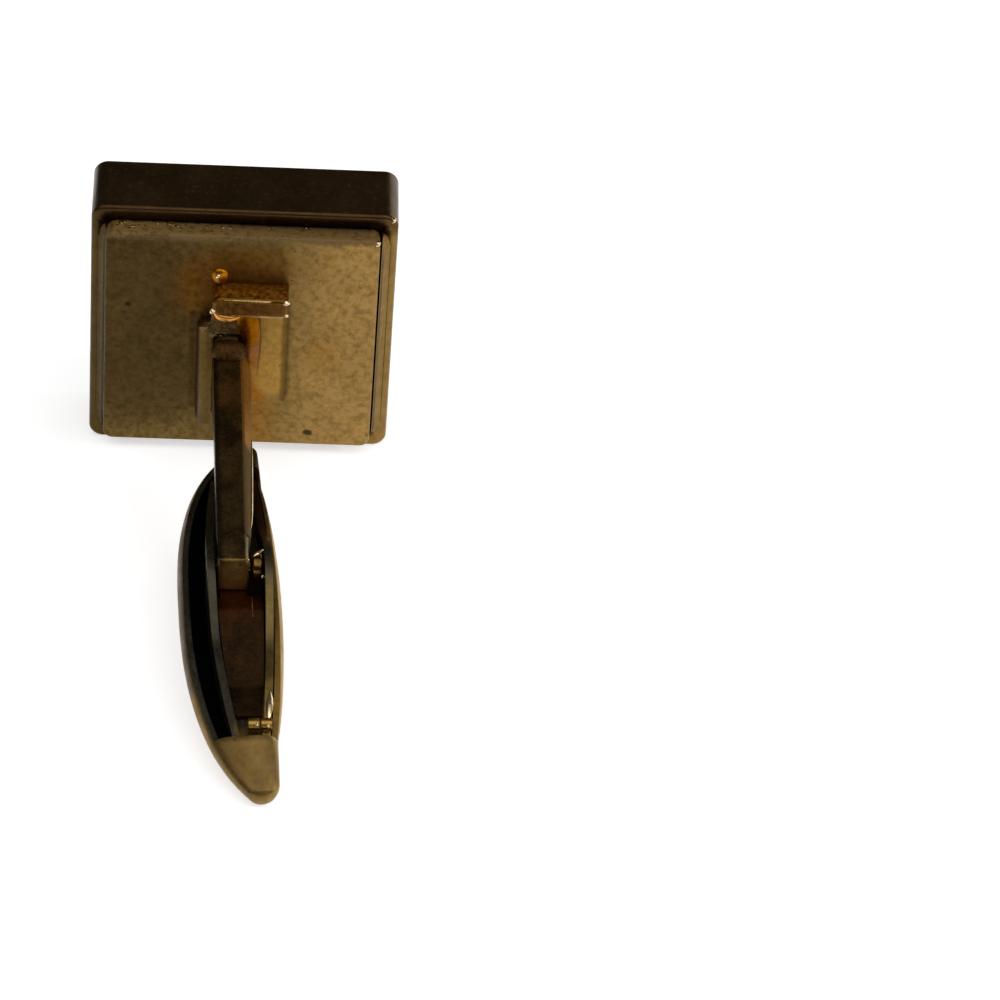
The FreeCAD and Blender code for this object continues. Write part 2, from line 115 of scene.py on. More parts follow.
def add(tree, kind, fields=None, **sockets):
    """Add a node of a kind such as Mix. A socket is a value or (node, output), and i0 is the first."""
    node = tree.nodes.new("ShaderNode" + kind)
    for name, value in (fields or {}).items():
        setattr(node, name, value)
    for name, value in sockets.items():
        key = int(name[1:]) if name[0] == "i" and name[1:].isdigit() else name.replace("_", " ")
        if isinstance(value, tuple) and hasattr(value[0], "outputs"):
            tree.links.new(value[0].outputs[value[1]], node.inputs[key])
        else:
            node.inputs[key].default_value = value
    return node


def per_mm(size_mm):
    """The texture scale at which one feature of a pattern is this many millimetres wide."""
    return 1.0 / (size_mm * MM)


print("sample colour", [round(c, 3) for c in linear("#8a6c36")])

# %% [markdown]
# ## The metal
#
# Nearly every piece is brass with a thin gold plating that has aged. Fingers have smudged it, fine dark
# corrosion dots it, and heat or dirt has browned it in places. So all finishes share one recipe: a cloud,
# up to 5 mm wide, mixes a lighter and a darker gold, a finer mottle breaks it up, pits are small round
# dark dots, and a smudge changes how sharp the reflections are. A thin film of dust and oxide lies
# on top. It isn't metal, so it shows as a faint speckle even where the metal mirrors a dark room. A bump
# for the plating's grain does the rest. The real grain is far too fine to show, so it is drawn about a
# tenth of a millimetre wide.
#
# Marks such as the heat stain round the solder are lines with a start, an end and a width. Many marks are
# painted light and shade instead: lighter or darker sides, shadows beside raised parts, and shade in
# grooves and under the post. A mark can also rub the film off, or gather more of it if that share is
# negative. All patterns use the piece's own coordinates, so they stay put when the toggle turns.

# %% How far a place lies inside a mark
RAGGED, MARK_CORE = 0.6, 0.7


def inside_mark(tree, place, uneven, start, end, inner, outer, strength):
    """A node that gives the strength within the inner distance (mm) of a line, and 0 past the outer one."""
    run = end - start
    step = run / run.length_squared if run.length else run
    reach = add(tree, "VectorMath", {"operation": "SUBTRACT"}, i0=place, i1=start)
    share = add(tree, "VectorMath", {"operation": "DOT_PRODUCT"}, i0=(reach, "Vector"), i1=step)
    share = add(tree, "Clamp", Value=(share, "Value"))
    nearest = add(tree, "VectorMath", {"operation": "SCALE"}, i0=run, Scale=(share, "Result"))
    far = add(tree, "VectorMath", {"operation": "DISTANCE"}, i0=(reach, "Vector"), i1=(nearest, "Vector"))
    ragged = add(tree, "Math", {"operation": "MULTIPLY_ADD"}, i0=uneven, i1=-RAGGED * inner * MM,
                 i2=(far, "Value"))
    return add(tree, "MapRange", {"interpolation_type": "SMOOTHSTEP"}, Value=(ragged, "Value"),
               From_Min=MARK_CORE * inner * MM, From_Max=outer * MM, To_Min=strength, To_Max=0.0)


def marks_on(point, rows):
    """Marks with their starts and ends turned into places by one of the functions for places."""
    return [(point(*start), point(*end), *rest) for start, end, *rest in rows]


print("marks fade from", MARK_CORE, "of their inner distance to their outer one")

# %% Recipe for aged gold plating
MOTTLE_TINT = "#b0a690"
SMUDGE_SHARE, PIT_CORE, PIT_STRENGTH = 0.4, 0.4, 0.8
THIN_FILM, FILM_STEP, FILM_ROUGHNESS = 0.2, 0.20, 0.3
MICRON = 1e-6
COLOUR_MIX = {"data_type": "RGBA"}


def plated_brass(name, light, dark, pit, smooth, dull, cloud_mm, mottle_mm, mottle, pit_mm, pit_size,
                 film="#6b5f48", film_share=0.10, film_mm=0.25, film_from=0.44, grain_mm=0.10, grain_um=5.0,
                 marks=()):
    """A plated metal. A mark is (start, end, inner mm, outer mm, hex colour, strength, film rubbed off)."""
    material = bpy.data.materials.new(name)
    material.use_nodes = True
    tree = material.node_tree
    shader = tree.nodes["Principled BSDF"]
    place = (add(tree, "TexCoord"), "Object")
    cloud = add(tree, "TexNoise", Vector=place, Scale=per_mm(cloud_mm), Detail=5.0, Distortion=0.4)
    cloudy = add(tree, "MapRange", Value=(cloud, "Fac"), From_Min=0.34, From_Max=0.66)
    colour = add(tree, "Mix", COLOUR_MIX, Factor=(cloudy, "Result"), A=linear(dark), B=linear(light))
    fine = add(tree, "TexNoise", Vector=place, Scale=per_mm(mottle_mm), Detail=4.0, Roughness=0.65)
    rubs = []
    for start, end, inner, outer, tint, strength, rubbed in marks:
        inside = inside_mark(tree, place, (fine, "Fac"), start, end, inner, outer, strength)
        colour = add(tree, "Mix", COLOUR_MIX, Factor=(inside, "Result"), A=(colour, "Result"),
                     B=linear(tint))
        rubs.append((inside, rubbed))
    mottled = add(tree, "MapRange", Value=(fine, "Fac"), From_Min=0.42, From_Max=0.72, To_Max=mottle)
    colour = add(tree, "Mix", {"data_type": "RGBA", "blend_type": "MULTIPLY"}, Factor=(mottled, "Result"),
                 A=(colour, "Result"), B=linear(MOTTLE_TINT))
    cells = add(tree, "TexVoronoi", Vector=place, Scale=per_mm(pit_mm))
    round_pits = add(tree, "MapRange", Value=(cells, "Distance"), From_Min=PIT_CORE * pit_size,
                     From_Max=pit_size, To_Min=PIT_STRENGTH, To_Max=0.0)
    few = add(tree, "MapRange", Value=(cloud, "Fac"), From_Min=0.46, From_Max=0.56)
    pits = add(tree, "Math", {"operation": "MULTIPLY"}, i0=(round_pits, "Result"), i1=(few, "Result"))
    colour = add(tree, "Mix", COLOUR_MIX, Factor=(pits, "Value"), A=(colour, "Result"), B=linear(pit))
    smudge = add(tree, "TexNoise", Vector=place, Scale=per_mm(SMUDGE_SHARE * cloud_mm), Detail=6.0,
                 Distortion=0.8)
    sheen = add(tree, "MapRange", Value=(smudge, "Fac"), From_Min=0.35, From_Max=0.65, To_Min=smooth,
                To_Max=dull)
    roughness = sheen.outputs["Result"]
    shader.inputs["Metallic"].default_value = 1.0
    if film_share:
        dust = add(tree, "TexNoise", Vector=place, Scale=per_mm(film_mm), Detail=5.0, Roughness=0.7)
        dusty = add(tree, "MapRange", Value=(dust, "Fac"), From_Min=film_from,
                    From_Max=film_from + FILM_STEP, To_Min=THIN_FILM * film_share, To_Max=film_share)
        film_left = 1.0
        for inside, rubbed in rubs:
            less = add(tree, "Math", {"operation": "MULTIPLY_ADD"}, i0=(inside, "Result"), i1=-rubbed,
                       i2=film_left)
            film_left = (less, "Value")
        film_here = add(tree, "Math", {"operation": "MULTIPLY", "use_clamp": True}, i0=(dusty, "Result"),
                        i1=film_left)
        colour = add(tree, "Mix", COLOUR_MIX, Factor=(film_here, "Value"), A=(colour, "Result"),
                     B=linear(film))
        metal = add(tree, "Math", {"operation": "SUBTRACT"}, i0=1.0, i1=(film_here, "Value"))
        rougher = add(tree, "Math", {"operation": "MULTIPLY_ADD"}, i0=(film_here, "Value"),
                      i1=FILM_ROUGHNESS, i2=(sheen, "Result"))
        roughness = rougher.outputs["Value"]
        tree.links.new(metal.outputs["Value"], shader.inputs["Metallic"])
    grain = add(tree, "TexNoise", Vector=place, Scale=per_mm(grain_mm), Detail=2.0)
    bump = add(tree, "Bump", Strength=0.5, Distance=grain_um * MICRON, Height=(grain, "Fac"))
    tree.links.new(colour.outputs["Result"], shader.inputs["Base Color"])
    tree.links.new(roughness, shader.inputs["Roughness"])
    tree.links.new(bump.outputs["Normal"], shader.inputs["Normal"])
    return material


print("recipe ready")

# %% [markdown]
# ## Finishes of the head
#
# The head's case was polished before plating and has dulled, so it still mirrors the room, softly. The
# back plate has a satin surface with a fine low mottle. The foot was soldered on with a flame, and the
# heat left an orange stain on the plate round it. Two small corrosion pits are darker than the rest.

# %% Case
# Painted light on the right rim, painted shade on the left rim and in the groove above the plate, and
# painted shade with extra dust on the top side.
case_painted_light_and_dust = marks_on(head_point, [
    ((7.1, 0, 6.6), (7.1, 0, -7.0), 0.5, 1.0, "#94763e", 0.70, 0.5),
    ((-7.1, 0, 6.6), (-7.1, 0, -7.0), 0.5, 1.0, "#47381a", 0.85, 0.5),
    ((-6.5, 0, 6.9), (6.5, 0, 6.9), 0.3, 0.7, "#3c2010", 0.85, 0.7),
    ((-6.0, 2.0, 7.6), (6.0, 2.0, 7.6), 2.0, 2.6, "#3c2810", 0.85, -1.0),
])
# Polished plating, dulled by handling: a soft mirror with faint clouds and a speckle of dust, and painted
# light and shade on the rims, the groove and the top side.
polished_case = plated_brass(
    "gold-plated brass, polished and dulled", "#7d6238", "#574526", "#2c2010", 0.24, 0.38, cloud_mm=5.0,
    mottle_mm=0.5, mottle=0.55, pit_mm=1.1, pit_size=0.08, film="#6a4e2a", film_share=0.36, film_mm=0.20,
    film_from=0.57, marks=case_painted_light_and_dust)
print("case marks", len(case_painted_light_and_dust))


# %% Back plate
def on_plate(x, z):
    """A place on the back plate's face, in mm across and up from the head's middle."""
    return head_point(x, PLATE_FACE, z)


# Painted shade on the left half and painted light on the right one, then the heat stains left of the foot
# and above it, a painted shadow along its left leg, the heat stain below it, a thin painted shade line
# along its right leg, a stain right of it, then two pits, and last the dusty upper edge.
plate_stain_and_painted_light = marks_on(on_plate, [
    ((-6.0, 4.0), (-5.0, -2.5), 2.2, 5.4, "#3a2a0e", 0.85, 0.0),
    ((6.0, 4.5), (5.0, -6.0), 1.2, 4.4, "#a8854a", 0.70, 0.0),
    ((-1.9, 3.0), (-1.7, 4.0), 0.5, 2.3, "#6e450f", 0.80, 0.5),
    ((-0.2, 4.9), (1.3, 4.6), 0.3, 1.7, "#7a4f14", 0.65, 0.5),
    ((-2.38, 1.7), (-2.36, -4.3), 0.05, 0.32, "#3a280c", 0.75, 0.0),
    ((0.9, -3.0), (0.9, -6.5), 0.4, 1.3, "#94692a", 0.70, 0.5),
    ((2.22, 2.4), (2.25, -3.4), 0.04, 0.28, "#4c360f", 0.70, 0.0),
    ((4.0, -0.4), (4.0, -1.4), 0.2, 1.2, "#946a24", 0.45, 0.0),
    ((-5.62, 2.11), (-5.62, 2.11), 0.10, 0.20, "#1c150a", 0.90, 0.0),
    ((3.44, -5.92), (3.56, -5.95), 0.10, 0.22, "#21170b", 0.90, 0.0),
])
plate_stain_and_painted_light += marks_on(head_point, [
    ((-6.7, -0.4, 6.63), (6.6, -0.4, 6.63), 0.30, 0.60, "#66512c", 0.80, -32.0),
])
# Satin plating: broad, even reflections, with a fine mottle, the heat stain, and painted light and shade.
satin_plate = plated_brass(
    "gold-plated brass, satin and heat-stained", "#8d733f", "#665128", "#3a2b12", 0.34, 0.46,
    cloud_mm=4.5, mottle_mm=0.34, mottle=0.85, pit_mm=1.3, pit_size=0.07, film="#7e602e", film_share=0.12,
    film_mm=0.35, marks=plate_stain_and_painted_light)
print("plate marks", len(plate_stain_and_painted_light))

# %% Post and foot
# The browned root, painted shade along the left edge, and painted light on the square end, which is also
# dusty.
post_stain_and_painted_light = marks_on(post_point, [
    ((-0.8, 0.4, 0.7), (0.8, 0.4, 0.7), 0.4, 1.0, "#5a3e1a", 0.80, 0.5),
    ((-0.78, 1.0, -0.3), (-0.78, 16.0, -0.3), 0.3, 0.4, "#2a1f10", 0.90, 0.0),
    ((0.0, 16.1, -0.7), (0.0, 16.1, -1.4), 0.4, 0.9, "#b58a40", 0.90, -1.5),
])
# A rolled bar: fine dark speckle along its worn top, browned where it meets the foot, with painted shade
# along its left edge and painted light on its end.
post_bar = plated_brass(
    "gold-plated brass bar, rolled and worn", "#7a6034", "#443419", "#1a120a", 0.24, 0.38, cloud_mm=1.6,
    mottle_mm=0.12, mottle=0.75, pit_mm=0.30, pit_size=0.18, film="#5e5540", film_share=0.34,
    film_mm=0.14, film_from=0.52, grain_mm=0.07, grain_um=7.0, marks=post_stain_and_painted_light)
# The bar's face and ledge, the run of solder, the bridge, both legs (painted shade on the left one, painted
# light on the right one), a painted shadow along the left leg's outer edge, the crusted corner over the
# left leg, and painted shade along the right leg's outer edge.
foot_tints_and_painted_light = marks_on(head_point, [
    ((-1.2, -2.0, 3.2), (1.9, -2.0, 3.2), 0.7, 1.25, "#5c3800", 0.90, -5.0),
    ((-1.2, -1.4, 3.8), (1.9, -1.4, 3.8), 0.40, 0.70, "#8a5200", 0.80, -7.0),
    ((0.4, -1.4, 2.2), (0.7, -1.0, -3.6), 0.3, 0.8, "#8a5612", 0.85, 1.0),
    ((-1.4, -1.5, 2.2), (-0.2, -1.5, 1.6), 0.4, 0.9, "#5c4016", 0.80, 0.0),
    ((-1.9, -1.2, 1.4), (-1.9, -1.2, -4.6), 0.60, 0.90, "#4e3c18", 0.80, 0.0),
    ((1.55, -1.0, 2.2), (1.55, -1.0, -2.6), 0.45, 0.90, "#a8823e", 0.80, 0.0),
    ((-2.3, -1.2, 1.4), (-2.3, -1.2, -4.6), 0.05, 0.35, "#3a280c", 0.80, 0.0),
    ((-1.7, -1.7, 1.7), (-0.9, -1.7, 1.5), 0.45, 0.70, "#6b5a38", 0.80, -8.0),
    ((2.2, -1.0, 2.2), (2.2, -1.0, -3.6), 0.05, 0.30, "#4f3912", 0.70, 0.0),
])
# Flowed by the flame: dark amber on the bar, satin like the plate on the legs, with painted light and shade
# on the legs and beside them.
soldered_foot = plated_brass(
    "gold-plated brass, soldered and bright", "#876d3b", "#665128", "#2a1908", 0.24, 0.38, cloud_mm=1.8,
    mottle_mm=0.30, mottle=0.5, pit_mm=0.8, pit_size=0.10, film="#84540a", film_share=0.08,
    marks=foot_tints_and_painted_light)
print("finishes so far", len(bpy.data.materials))

# %% [markdown]
# ## Finishes of the toggle
#
# The toggle is pressed from sheet. Its outside is satin gold, its hollow was never polished and has gone
# black with a greenish cast, and the cut edges of the sheet are a dull grey olive. The spring strip is
# browned, with a redder patch near the post that is a painted reflection of the post's end. The collar on
# the pin is turned and stays bright.

# %% Shell and bracket
# Painted shade on the far nose's left side, painted light on the right flank, painted shade on the left
# flank, and a painted shadow of the post on the nose under it.
shell_painted_light_and_shade = marks_on(toggle_point, [
    ((-1.2, 9.8, -1.6), (0.6, 13.0, -2.2), 0.3, 1.2, "#6b5228", 0.70, 0.3),
    ((2.2, -3.0, -1.9), (2.1, 8.0, -2.2), 0.6, 1.2, "#b08a42", 0.85, 0.5),
    ((-3.0, -6.0, -1.6), (-3.0, 6.0, -1.6), 0.8, 1.5, "#4a3d28", 0.85, 0.6),
    ((1.2, -11.5, -2.4), (0.8, -8.6, -1.6), 0.8, 1.6, "#2a190d", 0.90, 0.8),
])
# Pressed and plated: even satin gold, with painted shade along the left flank and on the nose under the
# post, and painted light on the right flank.
satin_shell = plated_brass(
    "gold-plated brass, pressed and satin", "#a08248", "#7d6438", "#34260f", 0.34, 0.48, cloud_mm=3.5,
    mottle_mm=0.28, mottle=0.45, pit_mm=1.2, pit_size=0.07, film="#96794a", film_share=0.22, film_mm=0.25,
    marks=shell_painted_light_and_shade)
# Never polished: nearly black, with a greenish cast.
black_hollow = plated_brass(
    "brass, unpolished and blackened", "#171a14", "#0a0c0a", "#050605", 0.50, 0.70, cloud_mm=2.0,
    mottle_mm=0.25, mottle=0.5, pit_mm=0.6, pit_size=0.12, film="#12150f", film_share=0.30)
# Painted light on the right wall's far half, painted highlights on its far end and the curled tabs, and a
# painted shadow of the post on its near half and in the channel beside the pin.
edge_painted_light_and_shade = marks_on(toggle_point, [
    ((1.6, 0.5, -0.5), (1.6, 6.0, -1.2), 0.6, 1.2, "#7d6838", 0.85, 0.6),
    ((1.5, 7.0, -1.3), (1.4, 8.4, -1.5), 0.5, 1.1, "#c8a860", 0.90, 1.0),
    ((0.4, 9.05, -1.4), (1.4, 9.05, -1.4), 0.5, 0.8, "#b08a44", 0.95, 1.0),
    ((1.6, -8.0, -0.8), (1.6, -1.8, -0.6), 0.7, 1.3, "#3a2413", 0.90, 0.8),
    ((0.9, -1.0, -1.4), (0.9, 1.4, -1.4), 0.7, 1.2, "#2e160a", 0.85, 0.8),
])
# Cut edges of the sheet: dull grey olive, with painted highlights at the right wall's end and on the curled
# tabs, and painted shade near the post.
sheet_edge = plated_brass(
    "brass sheet, sheared and dulled", "#4e4a38", "#36332a", "#1b1a14", 0.30, 0.44, cloud_mm=1.5,
    mottle_mm=0.15, mottle=0.5, pit_mm=0.5, pit_size=0.12, film="#403c2c", film_share=0.50, film_mm=0.12,
    marks=edge_painted_light_and_shade)
print("finishes so far", len(bpy.data.materials))

# %% Spring and pin
# The redder patch near the post is a painted reflection of the post's end.
spring_painted_reflection = marks_on(toggle_point, [
    ((-0.4, 0.9, -0.8), (0.8, 0.9, -0.8), 0.5, 2.2, "#54230d", 0.80, 0.3),
])
# Rolled spring strip, browned by heat, with a painted reflection of the post's end in red near the post.
browned_spring = plated_brass(
    "spring strip, rolled and browned", "#482f10", "#281808", "#0c0805", 0.30, 0.46, cloud_mm=1.8,
    mottle_mm=0.20, mottle=0.5, pit_mm=0.5, pit_size=0.12, film="#301f08", film_share=0.30, film_mm=0.15,
    marks=spring_painted_reflection)
# Turned and left bright: small sharp reflections.
bright_collar = plated_brass(
    "gold-plated brass, turned and bright", "#8d6a34", "#543c1c", "#24180a", 0.14, 0.26, cloud_mm=1.0,
    mottle_mm=0.2, mottle=0.4, pit_mm=0.6, pit_size=0.10, film_share=0.04)
print("finishes", len(bpy.data.materials))

# %% [markdown]
# ## Dress the solids that keep their shape
#
# Most solids already have the right shape, so they stay and get a finish. A real edge is never perfectly
# sharp: it catches a thin line of light. So the sharp ones get a Weld modifier, which joins the doubled
# points of an imported mesh, a small Bevel, and weighted normals, which keep the flat faces flat beside
# the rounded edge.

# %% Finish and soften the solids
WELD_REACH = 1e-6
SHARP_FROM = math.radians(35)
# For each solid: its finish, and the width in mm of its softened edges.
finish_of = {
    "head_case": (polished_case, 0),
    "back_plate": (satin_plate, 0),
    "post": (post_bar, 0.03),
    "post_foot": (soldered_foot, 0.06),
    "pivot_pin": (bright_collar, 0),
    "pin_collar": (bright_collar, 0.05),
    "toggle_bracket": (sheet_edge, 0.05),
    "leaf_spring": (browned_spring, 0.05),
}


def soften(solid, width_mm):
    """Round the sharp edges of a solid a little, with modifiers only."""
    weld = solid.modifiers.new("weld", "WELD")
    weld.merge_threshold = WELD_REACH
    if width_mm:
        bevel = solid.modifiers.new("soft edges", "BEVEL")
        bevel.width = width_mm * MM
        bevel.segments = 2
        bevel.limit_method = "ANGLE"
        bevel.angle_limit = SHARP_FROM
    normals = solid.modifiers.new("even shading", "WEIGHTED_NORMAL")
    normals.keep_sharp = False


for node_name, (finish, width) in finish_of.items():
    solid = frame["nodes"][node_name]
    solid.data.materials.clear()
    solid.data.materials.append(finish)
    soften(solid, width)
print("dressed", len(finish_of), "solids")

# %% [markdown]
# ## The toggle's shell
#
# The shell is a small boat of pressed sheet: two closed noses, and between them an open mouth. A single
# material can't tell its satin outside from its black hollow, so the shell is modelled again as a mesh
# with three finishes. It uses the same formulas as the solid. Cross-sections at many places along the
# toggle are closed smooth curves. Where the mouth is, each curve is cut at the rim, and the hollow's
# curve is added inside it.

# %% Sizes of the shell, in millimetres from the pin
SHEET = 0.37
CENTRE, HALF_LENGTH, LAST_SECTION, NEAR_EXTRA = 1.17, 12.6, 11.32, 0.75
BELLY, CHORD, POWER = 5.28, 2.83, 2.52
NOSE_RIGHT, NOSE_START, NOSE_END, NOSE_TURN = 1.71, 10.8, 11.6, 0.85
TIP_DOME, TIP_START = 0.78, 44
SWELL, SWELL_HALF, SWELL_POWER = 0.62, 8.3, 0.8
RIM_TUCK, RIM_SWELL_SHARE, RIM_LEVEL, RIM_SAG = 0.06, 0.5, -1.0, 0.010
KEEL_MIDDLE, KEEL_TIP, CROWN_SHARE = -4.0, -2.8, 0.12
MOUTH_NEAR, MOUTH_FAR = -8.8, 9.75
RIGHT_WALL, RIGHT_WALL_BEND, RIGHT_WALL_MIDDLE, WALL_FIT = 1.68, 0.0055, 0.3, 0.05
FLANK_LEFT_DROP, FLANK_RIGHT_DROP, SHOULDER_IN = 0.04, 0.38, 0.12
SHOULDER_LEFT_RISE, SHOULDER_RIGHT_RISE = 0.55, 0.45
BILGE_REACH, BILGE_RISE = 0.62, 0.17
HOLLOW_LEFT_DROP, HOLLOW_RIGHT_DROP, HOLLOW_REACH, HOLLOW_RISE = 0.30, 0.60, 0.70, 0.25


def rim_level(along):
    """Height of the rim, which falls a little towards both noses."""
    return RIM_LEVEL - RIM_SAG * along ** 2


def shell_outline(along, inset):
    """Left edge, right edge, right rim edge and keel level of the shell at one place."""
    s = along - CENTRE
    roundness = math.sqrt(max(0, 1 - abs(s / HALF_LENGTH) ** POWER))
    swell = SWELL * max(0, 1 - (s / SWELL_HALF) ** 2) ** SWELL_POWER
    reach = s if s > 0 else -s - NEAR_EXTRA
    past_nose = max(0, reach - NOSE_START) / (NOSE_END - NOSE_START)
    nose = NOSE_TURN * (1 - math.sqrt(max(0, 1 - past_nose ** 2)))
    left = CHORD - BELLY * roundness + inset
    right = NOSE_RIGHT + swell - nose - inset
    keel = KEEL_TIP + (KEEL_MIDDLE - KEEL_TIP) * roundness + inset
    return left, right, right - RIM_TUCK - swell * (1 - RIM_SWELL_SHARE), keel


print("sections run over", 2 * LAST_SECTION + NEAR_EXTRA, "mm")


# %% Curves in a plane
def closed_spline(points, per_span):
    """Places on the smooth closed curve through the points, a periodic cubic spline by chord length."""
    p = np.array(points)
    ahead = np.roll(p, -1, 0)
    h = np.linalg.norm(ahead - p, axis=1)
    slope = (ahead - p) / h[:, None]
    count = len(p)
    system = np.zeros((count, count))
    for i in range(count):
        system[i, i - 1] = h[i - 1]
        system[i, i] = 2 * (h[i - 1] + h[i])
        system[i, (i + 1) % count] = h[i]
    bend = np.linalg.solve(system, 6 * (slope - np.roll(slope, 1, 0)))
    bend_ahead = np.roll(bend, -1, 0)
    curve = []
    for i in range(count):
        for t in np.arange(per_span) / per_span * h[i]:
            back = h[i] - t
            cubic = (bend[i] * back ** 3 + bend_ahead[i] * t ** 3) / (6 * h[i])
            from_here = (p[i] / h[i] - bend[i] * h[i] / 6) * back
            from_ahead = (ahead[i] / h[i] - bend_ahead[i] * h[i] / 6) * t
            curve.append(cubic + (from_here + from_ahead))
    return np.array(curve)


def resample(curve, count):
    """The same open curve with evenly spaced points."""
    run = np.concatenate([[0], np.cumsum(np.linalg.norm(np.diff(curve, axis=0), axis=1))])
    even = np.linspace(0, run[-1], count)
    return np.stack([np.interp(even, run, curve[:, 0]), np.interp(even, run, curve[:, 1])], axis=1)


def arc_through(a, b, c, count):
    """Places on the circle arc from a through b to c."""
    a, b, c = (complex(*v) for v in (a, b, c))
    w = (c - a) / (b - a)
    centre = (b - a) * (w - abs(w) ** 2) / (w - w.conjugate()) + a
    start = np.angle(a - centre)
    turn = np.angle((c - centre) / (a - centre))
    through = np.angle((b - centre) / (a - centre))
    if turn * through < 0 or abs(through) > abs(turn):
        turn -= math.copysign(2 * math.pi, turn)
    spokes = centre + abs(a - centre) * np.exp(1j * (start + np.linspace(0, 1, count) * turn))
    return np.stack([spokes.real, spokes.imag], axis=1)


print("a half circle is", round(float(np.ptp(arc_through((1, 0), (0, 1), (-1, 0), 9)[:, 0])), 2), "wide")

# %% Curves of one cross-section
PER_SPAN, HULL_POINTS, CROWN_POINTS, HOLLOW_POINTS, ARC_POINTS = 24, 41, 21, 33, 16


def outside_curves(along):
    """The hull from the right rim round the keel to the left rim, and the crown above it back again."""
    left, right, rim_right, keel = shell_outline(along, 0)
    rim = rim_level(along)
    middle, depth, crown = 0.5 * (left + right), rim - keel, CROWN_SHARE * (right - left)
    ring = closed_spline([
        (left, rim - FLANK_LEFT_DROP * depth),
        (left + SHOULDER_IN * (right - left), rim + SHOULDER_LEFT_RISE * crown),
        (middle, rim + crown),
        (rim_right, rim + SHOULDER_RIGHT_RISE * crown),
        (right, rim - FLANK_RIGHT_DROP * depth),
        (middle + BILGE_REACH * (right - middle), keel + BILGE_RISE * depth),
        (middle, keel),
        (middle - BILGE_REACH * (middle - left), keel + BILGE_RISE * depth),
    ], PER_SPAN)
    above = ring[:, 1] > rim
    first = int(np.argmax(above))
    last = len(above) - 1 - int(np.argmax(above[::-1]))

    def crossing(i, j):
        share = (rim - ring[i, 1]) / (ring[j, 1] - ring[i, 1])
        return ring[i] + share * (ring[j] - ring[i])

    left_rim, right_rim = crossing(first - 1, first), crossing(last, last + 1)
    hull = np.vstack([right_rim, ring[last + 1:], ring[:first], left_rim])
    cap = np.vstack([left_rim, ring[first:last + 1], right_rim])
    return resample(hull, HULL_POINTS), resample(cap, CROWN_POINTS)


def hollow_curve(along):
    """The hollow from the left rim round its floor to the right rim."""
    left, right, _, keel = shell_outline(along, SHEET)
    rim = rim_level(along)
    middle, depth = 0.5 * (left + right), rim - keel
    wall = RIGHT_WALL - RIGHT_WALL_BEND * (along - RIGHT_WALL_MIDDLE) ** 2 + SHEET / 2 + WALL_FIT
    bilge = keel + HOLLOW_RISE * depth
    left_bilge = (middle - HOLLOW_REACH * (middle - left), bilge)
    right_bilge = (middle + HOLLOW_REACH * (wall - middle), bilge)
    left_arc = arc_through((left, rim - HOLLOW_LEFT_DROP * depth), left_bilge, (middle, keel), ARC_POINTS)
    right_arc = arc_through((middle, keel), right_bilge, (wall, rim - HOLLOW_RIGHT_DROP * depth),
                            ARC_POINTS)
    return resample(np.vstack([(left, rim), left_arc, right_arc[1:], (wall, rim)]), HOLLOW_POINTS)


print("points in a section", HULL_POINTS, CROWN_POINTS, HOLLOW_POINTS)

# %% [markdown]
# The sections are joined into a mesh with bmesh. Each section becomes a row of points, and neighbouring
# rows are filled with quads. The noses keep their crown, the mouth gets its hollow and a flat rim, and
# flat faces close the hollow's two ends. Each group of faces takes its own material number.

# %% Rows of the shell
OUTSIDE, HOLLOW, RIM = 0, 1, 2
NOSE_STATIONS, MOUTH_STATIONS = 14, 46
TIP_TURNS = (50, 56, 62, 70, 80, 87)
shell_mesh = bmesh.new()


def row_of(curve, along):
    """Mesh points for one curve of a section."""
    return [shell_mesh.verts.new(toggle_point(float(x), float(along), float(level))) for x, level in curve]


def fill(row_a, row_b, finish):
    """Quads between two rows of points."""
    for i in range(len(row_a) - 1):
        face = shell_mesh.faces.new((row_a[i], row_a[i + 1], row_b[i + 1], row_b[i]))
        face.material_index = finish


def eased(start, end, count):
    """Places that lie closer together towards the end."""
    return [start + (end - start) * math.sin(0.5 * math.pi * i / (count - 1)) for i in range(count)]


near_nose = eased(MOUTH_NEAR, CENTRE - LAST_SECTION - NEAR_EXTRA, NOSE_STATIONS)
far_nose = eased(MOUTH_FAR, CENTRE + LAST_SECTION, NOSE_STATIONS)
mouth = np.linspace(MOUTH_NEAR, MOUTH_FAR, MOUTH_STATIONS)
print("stations", 2 * NOSE_STATIONS + MOUTH_STATIONS)

# %% Mouth and noses
hull_rows, rim_rows = [], []
for along in mouth:
    hull, _ = outside_curves(along)
    hull_rows.append(row_of(hull, along))
    rim_rows.append(row_of(hollow_curve(along), along))
for i in range(MOUTH_STATIONS - 1):
    fill(hull_rows[i], hull_rows[i + 1], OUTSIDE)
    fill(rim_rows[i], rim_rows[i + 1], HOLLOW)
    fill([hull_rows[i][-1], rim_rows[i][0]], [hull_rows[i + 1][-1], rim_rows[i + 1][0]], RIM)
    fill([rim_rows[i][-1], hull_rows[i][0]], [rim_rows[i + 1][-1], hull_rows[i + 1][0]], OUTSIDE)

